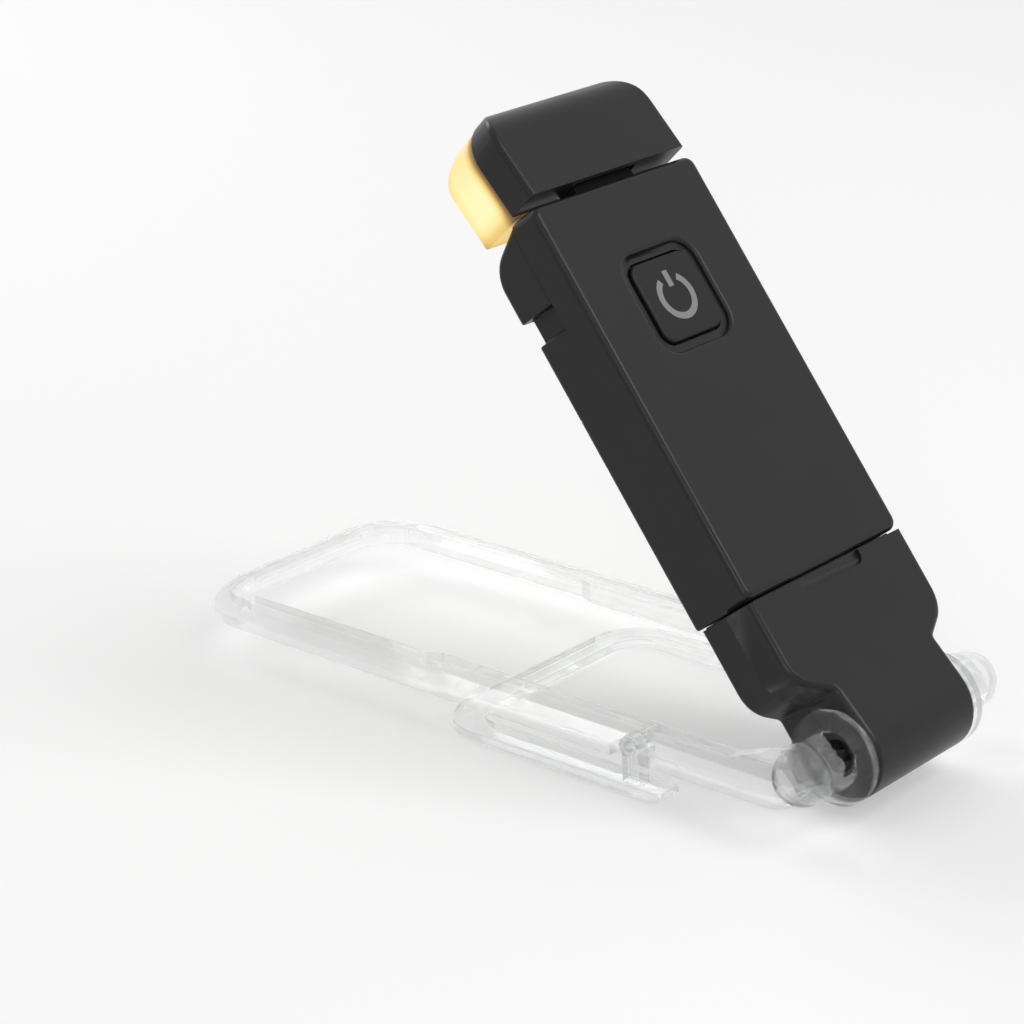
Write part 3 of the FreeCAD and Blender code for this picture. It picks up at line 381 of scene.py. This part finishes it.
from_foot = fade("Y", LENS_FOOT, LENS_FOOT + RIM_DEPTH, FOOT_SHARE)
from_back = fade("Z", LENS_BACK, LENS_BACK + BACK_RIM_DEPTH, BACK_SHARE)
from_top = fade("Y", LENS_TOP, LENS_TOP - TOP_RIM_DEPTH, TOP_SHARE)
brightness = fade("Z", LENS_FRONT - SHADED_DEPTH, LENS_FRONT - BAND_DEPTH)
for rim in (from_foot, from_back, from_top):
    brightness = combine(lens_tree, "MULTIPLY", brightness, rim)
glow = lens_tree.nodes.new("ShaderNodeValToRGB")
glow.color_ramp.elements[0].color = DARKEST_GLOW
glow.color_ramp.elements[1].color = BRIGHTEST_GLOW
for position, colour in GLOW_STEPS:
    glow.color_ramp.elements.new(position).color = colour
lens_tree.links.new(brightness, glow.inputs["Fac"])
feed(warm_lens, glow.outputs["Color"], "Emission Color")
adjust(warm_lens, {"Emission Strength": GLOW_STRENGTH})
print("lens:", warm_lens.name)

# %% [markdown]
# A CAD mesh is loose triangles with knife-sharp edges. Nothing moulded is that sharp: every edge
# has a small radius that catches a line of light. Here each visible piece is copied, its triangles
# are joined up, flat areas become single faces, and a narrow bevel is put on what is still sharp.
# The bevel is clamped where the mesh has very short edges. That leaves little or none of it on the
# loop, the base's halves and the front shell, where only the fillets of the CAD are round.
# Broad faces are shaded flat, because smooth shading draws wedges of light across them. The copy
# then stands for the node. The work is done a thousand times larger, because the operators'
# tolerances suit metres and not millimetres. So its lengths and areas are in millimetres.

# %% Write helpers that give a CAD node a finished skin
ENLARGE = 1000.0
MERGE_DISTANCE = 0.002
FLAT_ANGLE = radians(0.3)
SHARP_ANGLE = radians(32)
BROAD_AREA = 60.0
NORMAL_WEIGHT = 95


def pick(piece):
    """Make one object the only selected and active one."""
    bpy.ops.object.select_all(action="DESELECT")
    piece.select_set(True)
    bpy.context.view_layer.objects.active = piece


def scale_mesh(factors):
    """Scale all of the active object's mesh about the origin and stay in edit mode."""
    bpy.ops.object.mode_set(mode="EDIT")
    bpy.ops.mesh.select_all(action="SELECT")
    bpy.ops.transform.resize(value=factors, center_override=ORIGIN)


def apply_modifier(piece, kind, **settings):
    """Add a modifier, set it and apply it."""
    modifier = piece.modifiers.new(kind.lower(), kind)
    for name, value in settings.items():
        setattr(modifier, name, value)
    bpy.ops.object.modifier_apply(modifier=modifier.name)


def skin_of(node, body, paint, soft_edge, segments=3, reshape=None):
    """A joined and bevelled copy of a CAD node that stands for it, reshaped if asked."""
    piece = bpy.data.objects.new(node + "_skin", frame["nodes"][node].data.copy())
    bpy.context.scene.collection.objects.link(piece)
    pick(piece)
    bpy.ops.mesh.customdata_custom_splitnormals_clear()
    scale_mesh((ENLARGE, ENLARGE, ENLARGE))
    bpy.ops.mesh.remove_doubles(threshold=MERGE_DISTANCE)
    bpy.ops.mesh.dissolve_limited(angle_limit=FLAT_ANGLE)
    bpy.ops.object.mode_set(mode="OBJECT")
    apply_modifier(piece, "BEVEL", width=soft_edge, segments=segments, limit_method="ANGLE",
                   angle_limit=SHARP_ANGLE, use_clamp_overlap=True)
    bpy.ops.object.shade_smooth_by_angle(angle=SHARP_ANGLE)
    for polygon in piece.data.polygons:
        polygon.use_smooth = polygon.area < BROAD_AREA
    apply_modifier(piece, "WEIGHTED_NORMAL", keep_sharp=True, weight=NORMAL_WEIGHT)
    scale_mesh((1 / ENLARGE, 1 / ENLARGE, 1 / ENLARGE))
    bpy.ops.object.mode_set(mode="OBJECT")
    if reshape:
        reshape(piece)
    piece.data.materials.clear()
    piece.data.materials.append(paint)
    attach(piece, body)
    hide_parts(node)
    print(piece.name, len(piece.data.polygons), "faces")


# %% [markdown]
# Two forms of the head are drawn out here. The lens is deeper than its solid, and the cover comes
# closer to the body, so that the gap between them is a dark line. Moving points in the leaning
# frame would need slanted steps, so the piece is turned upright about the head's pin, changed
# there, and turned back.

# %% Write helpers that draw out the lens and the cover's lower edge
COVER_DROP = 0.9 * MM
COVER_EDGE = -2.2 * MM
upright_head = Matrix.Rotation(-head_lean, 4, "X") @ Matrix.Translation(-head_pin_point)


def set_mesh(piece, placement):
    """Move a piece by a placement and keep the result in its mesh."""
    piece.matrix_world = placement
    pick(piece)
    bpy.ops.object.transform_apply(location=True, rotation=True, scale=True)


def deepen_lens(piece):
    """Stretch the lens to the back from the plane where it meets the cover."""
    set_mesh(piece, upright_head)
    set_mesh(piece, Matrix.Translation((0, 0, LENS_FRONT * (1 - LENS_STRETCH)))
             @ Matrix.Diagonal((1, 1, LENS_STRETCH, 1)))
    set_mesh(piece, upright_head.inverted())


def lower_cover_edge(piece):
    """Pull the cover's bottom edge down towards the body."""
    set_mesh(piece, upright_head)
    bpy.ops.object.mode_set(mode="EDIT")
    bpy.ops.mesh.select_mode(type="VERT")
    bpy.ops.mesh.select_all(action="DESELECT")
    bpy.ops.object.mode_set(mode="OBJECT")
    for corner in piece.data.vertices:
        corner.select = corner.co.y < COVER_EDGE
    bpy.ops.object.mode_set(mode="EDIT")
    bpy.ops.transform.translate(value=(0, -COVER_DROP, 0))
    bpy.ops.object.mode_set(mode="OBJECT")
    set_mesh(piece, upright_head.inverted())


print("cover's edge lowered by", COVER_DROP / MM, "mm, lens stretched by", LENS_STRETCH)

# %% [markdown]
# The black pieces come first: body, hinge base, head and button. The width of each bevel is in
# millimetres, before it is clamped.

# %% Finish the black housing
HOUSING_EDGE = 0.25
BUTTON_EDGE = 0.1
for node, body in (("front_shell", "lamp_body"), ("back_shell", "lamp_body"),
                   ("base_front", "hinge_base"), ("base_back", "hinge_base")):
    skin_of(node, body, black_plastic, HOUSING_EDGE)
skin_of("head_cover", "lamp_head", black_plastic, HOUSING_EDGE,
        reshape=lower_cover_edge)
skin_of("button_cap", "power_button", button_plastic, BUTTON_EDGE)

# %% Finish the clear pieces and the lens
LOOP_EDGE = 0.5
CLIP_EDGE = 0.3
PIN_EDGE = 0.1
LENS_EDGE = 0.15
skin_of("frame_loop", "clip_frame", clear_plastic, LOOP_EDGE, segments=4)
skin_of("page_clip", "page_clip", clear_plastic, CLIP_EDGE)
skin_of("clip_hinge_pins", "clip_frame", clear_plastic, PIN_EDGE)
skin_of("head_lens", "lamp_head", warm_lens, LENS_EDGE, reshape=deepen_lens)

# %% [markdown]
# Most of what is inside never shows, yet each piece has its real finish, so that the model can be
# opened. The boards are green solder mask with lighter copper tracks under it. Drawn tracks would
# be a mesh of their own, so a brick pattern stands in for them: its mortar lines are the tracks,
# its bricks the bare mask. The pattern takes the place of the two plain tones.

# %% Mix the board's green
SMOOTH_GRAIN = 0.002 * MM
TRACK_SCALE = 420.0
TRACK_WIDTH_SHARE = 0.05
MASK_DARK = (0.02, 0.1, 0.035)
MASK_LIGHT = (0.03, 0.14, 0.05)
TRACK_GREEN = (0.08, 0.3, 0.1)
circuit_board = moulded("circuit_board", dark=MASK_DARK, light=MASK_LIGHT,
                        low_gloss=0.32, high_gloss=0.25, grain_depth=SMOOTH_GRAIN)
board_tree = circuit_board.node_tree
board_tree.nodes.remove(board_tree.nodes["Mix"])
board_spot = board_tree.nodes.new("ShaderNodeTexCoord")
board_turn = board_tree.nodes.new("ShaderNodeMapping")
board_turn.inputs["Rotation"].default_value = Euler((-lean, 0, 0))
tracks = board_tree.nodes.new("ShaderNodeTexBrick")
tracks.inputs["Scale"].default_value = TRACK_SCALE
tracks.inputs["Mortar Size"].default_value = TRACK_WIDTH_SHARE
tracks.inputs["Color1"].default_value = (*MASK_DARK, 1)
tracks.inputs["Color2"].default_value = (*MASK_LIGHT, 1)
tracks.inputs["Mortar"].default_value = (*TRACK_GREEN, 1)
board_tree.links.new(board_spot.outputs["Object"], board_turn.inputs["Vector"])
board_tree.links.new(board_turn.outputs["Vector"], tracks.inputs["Vector"])
feed(circuit_board, tracks.outputs["Color"], "Base Color")
print("board:", circuit_board.name)

# %% [markdown]
# Chips, switch and plug core are plain moulded black. The pouch of the cell is crinkled foil, the
# plug's shell drawn steel, its contacts gold plated. The foam is grey and full of pores. All of
# them share the mould's grain group, each with values of its own.

# %% Mix the finishes of the inside
PLATED_GRAIN = 0.001 * MM
CRINKLE_DEPTH = 0.06 * MM
CRINKLE_SCALE = 420.0
PORE_DEPTH = 0.08 * MM
PORE_SCALE = 1500.0
INSIDE_FINISHES = {
    "chip_plastic": {"dark": (0.02, 0.02, 0.022), "light": (0.035, 0.035, 0.038),
                     "low_gloss": 0.5, "high_gloss": 0.4, "grain_depth": FINE_GRAIN},
    "plug_core": {"dark": (0.03, 0.03, 0.032), "light": (0.045, 0.045, 0.048),
                  "low_gloss": 0.45, "high_gloss": 0.35, "grain_depth": FINE_GRAIN},
    "cell_foil": {"dark": (0.55, 0.55, 0.57), "light": (0.72, 0.72, 0.74),
                  "low_gloss": 0.38, "high_gloss": 0.24, "grain_depth": CRINKLE_DEPTH,
                  "grain_scale": CRINKLE_SCALE},
    "plug_steel": {"dark": (0.55, 0.55, 0.56), "light": (0.68, 0.68, 0.69),
                   "low_gloss": 0.34, "high_gloss": 0.22, "grain_depth": SMOOTH_GRAIN},
    "contact_metal": {"dark": (0.72, 0.48, 0.16), "light": (0.82, 0.6, 0.24),
                      "low_gloss": 0.3, "high_gloss": 0.2, "grain_depth": PLATED_GRAIN},
    "led_resin": {"dark": (0.85, 0.55, 0.12), "light": (0.95, 0.7, 0.2),
                  "low_gloss": 0.35, "high_gloss": 0.25, "grain_depth": SMOOTH_GRAIN},
    "foam_grey": {"dark": (0.035, 0.035, 0.037), "light": (0.06, 0.06, 0.063),
                  "low_gloss": 0.95, "high_gloss": 0.85, "grain_depth": PORE_DEPTH,
                  "grain_scale": PORE_SCALE},
}
inside = {name: moulded(name, **values) for name, values in INSIDE_FINISHES.items()}
for metal in ("cell_foil", "plug_steel", "contact_metal"):
    adjust(inside[metal], {"Metallic": 1.0})
for dull in ("chip_plastic", "plug_core", "foam_grey"):
    adjust(inside[dull], {"Specular IOR Level": 0.3})
adjust(inside["led_resin"], {"Emission Color": (1.0, 0.75, 0.3, 1), "Emission Strength": 0.8})
print("inside finishes:", len(inside))

# %% Paint every CAD node by its slot
PAINTS = {"clear_plastic": clear_plastic, "black_plastic": black_plastic,
          "button_plastic": button_plastic, "warm_lens": warm_lens,
          "circuit_board": circuit_board, "foam": inside["foam_grey"], **inside}
for subpart in frame["record"]["subparts"]:
    node_mesh = frame["nodes"][subpart["node"]].data
    node_mesh.materials.clear()
    node_mesh.materials.append(PAINTS[subpart["material_slot"]])


# %% Write helpers that set a new piece on the leaning lamp
def start_piece(name, add_shape, size):
    """Add a plane or a cube of a size in millimetres, and stay in edit mode with it selected."""
    bpy.ops.object.select_all(action="DESELECT")
    add_shape(size=MM)
    piece = bpy.context.object
    piece.name = name
    piece.data.name = name
    scale_mesh(size)
    return piece


def set_on_lamp(piece, across, up, out, turn=0.0):
    """Turn a piece that was modelled flat to face the lamp's front, or on, and set it in place."""
    set_mesh(piece, Matrix.Translation(lamp_point(across, up, out))
             @ Matrix.Rotation(lean + turn, 4, "X"))


def reach(node, direction):
    """The lowest and highest measure of a CAD node from the hinge along a direction, in mm."""
    corners = frame["nodes"][node].data.vertices
    measures = [(corner.co - hinge_point).dot(direction) / MM for corner in corners]
    return min(measures), max(measures)


# %% [markdown]
# The power symbol on the button is printed ink: a ring that is open at the top, with a bar in the
# opening. A painted mask in the material would do, but its edge would be soft from close by. So it
# is a real film of ink that stands 0.04 mm proud: a small upright rectangle is spun round the
# middle to make the ring.

# %% Spin the ring of the power symbol
INK_PROUD = 0.04
INK_DEEP = 0.06
RING_RADIUS = 3.35
LINE_WIDTH = 0.95
RING_OPENING = radians(66)
RING_STEPS = 56
RING_MERGE_DISTANCE = 0.0005 * MM
ink_height = INK_PROUD + INK_DEEP
symbol_ink = moulded("symbol_ink", dark=(0.19, 0.19, 0.19), light=(0.24, 0.24, 0.24),
                     low_gloss=0.5, high_gloss=0.4, grain_depth=SMOOTH_GRAIN)
symbol = start_piece("power_symbol", bpy.ops.mesh.primitive_plane_add, (LINE_WIDTH, ink_height, 1))
bpy.ops.transform.rotate(value=pi / 2, orient_axis="X", center_override=ORIGIN)
bpy.ops.transform.translate(value=((RING_RADIUS - LINE_WIDTH / 2) * MM, 0, 0))
bpy.ops.mesh.spin(steps=RING_STEPS, angle=2 * pi - RING_OPENING, center=ORIGIN, axis=(0, 0, 1))
bpy.ops.mesh.select_all(action="SELECT")
bpy.ops.mesh.remove_doubles(threshold=RING_MERGE_DISTANCE)
bpy.ops.mesh.fill_holes(sides=4)
bpy.ops.mesh.normals_make_consistent(inside=False)
bpy.ops.object.mode_set(mode="OBJECT")
ring_corners = symbol.data.vertices
middle = sum((corner.co for corner in ring_corners), Vector()) / len(ring_corners)
opening = atan2(-middle.y, -middle.x)
print("ring:", len(symbol.data.polygons), "faces, opening at", round(degrees(opening)), "degrees")

# %% Add the bar and print the symbol on the button
BAR_FOOT = 1.4
BAR_TOP = 3.7
set_mesh(symbol, Matrix.Rotation(pi / 2 - opening, 4, "Z"))
bar = start_piece("power_symbol_bar", bpy.ops.mesh.primitive_cube_add,
                  (LINE_WIDTH, BAR_TOP - BAR_FOOT, ink_height))
bpy.ops.transform.translate(value=(0, (BAR_TOP + BAR_FOOT) / 2 * MM, 0))
bpy.ops.object.mode_set(mode="OBJECT")
pick(symbol)
bar.select_set(True)
bpy.ops.object.join()
button_low, button_high = reach("button_cap", rise)
button_face = reach("button_cap", facing)[1]
set_on_lamp(symbol, 0, (button_low + button_high) / 2, button_face + (INK_PROUD - INK_DEEP) / 2)
symbol.data.materials.clear()
symbol.data.materials.append(symbol_ink)
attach(symbol, "power_button")
print("symbol on the button at", round(button_face, 2), "mm from the hinge plane")

# %% [markdown]
# Between body and base runs a parting line, which has to look black. A low rim on the base keeps
# the light out. It is a flat ring just inside the walls, cut from a plane by an inset and given
# its height by a Solidify modifier. Its back and front are millimetres from the hinge plane.

# %% Close the parting line with a low rim
RIM_ACROSS = 28.4
RIM_BACK = -6.2
RIM_FRONT = 3.6
RIM_WIDTH = 1.0
RIM_HEIGHT = 0.22
RIM_BEVEL_SHARE = 0.25
seam_rim = start_piece("seam_rim", bpy.ops.mesh.primitive_plane_add,
                       (RIM_ACROSS, RIM_FRONT - RIM_BACK, 1))
bpy.ops.mesh.inset(thickness=RIM_WIDTH * MM)
bpy.ops.mesh.delete(type="FACE")
bpy.ops.object.mode_set(mode="OBJECT")
apply_modifier(seam_rim, "SOLIDIFY", thickness=RIM_HEIGHT * MM, offset=1.0)
apply_modifier(seam_rim, "BEVEL", width=RIM_HEIGHT * RIM_BEVEL_SHARE * MM, segments=2)
base_top = reach("base_front", rise)[1]
set_on_lamp(seam_rim, 0, base_top, (RIM_BACK + RIM_FRONT) / 2, turn=-pi / 2)
seam_rim.data.materials.append(black_plastic)
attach(seam_rim, "hinge_base")
print("rim:", len(seam_rim.data.polygons), "faces, on the base at", round(base_top, 2), "mm")

# %% [markdown]
# A strip of foam tape holds the flat cell in the back half. In the CAD it is a plain block. Foam
# has no sharp edges, so the finished strip is a box of the same size with rounded ones.

# %% Press the foam tape into place
FOAM_BEVEL = 0.12
foam_left, foam_right = reach("battery_pad", Vector((1, 0, 0)))
foam_low, foam_high = reach("battery_pad", rise)
foam_back, foam_face = reach("battery_pad", facing)
foam = start_piece("foam_tape", bpy.ops.mesh.primitive_cube_add,
                   (foam_right - foam_left, foam_high - foam_low, foam_face - foam_back))
bpy.ops.mesh.bevel(offset=FOAM_BEVEL * MM, segments=3, affect="EDGES", clamp_overlap=True)
bpy.ops.object.mode_set(mode="OBJECT")
bpy.ops.object.shade_smooth_by_angle(angle=SHARP_ANGLE)
set_on_lamp(foam, (foam_left + foam_right) / 2, (foam_low + foam_high) / 2,
            (foam_back + foam_face) / 2)
foam.data.materials.clear()
foam.data.materials.append(inside["foam_grey"])
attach(foam, "lamp_body")
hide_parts("battery_pad")
print("foam:", len(foam.data.polygons), "faces")
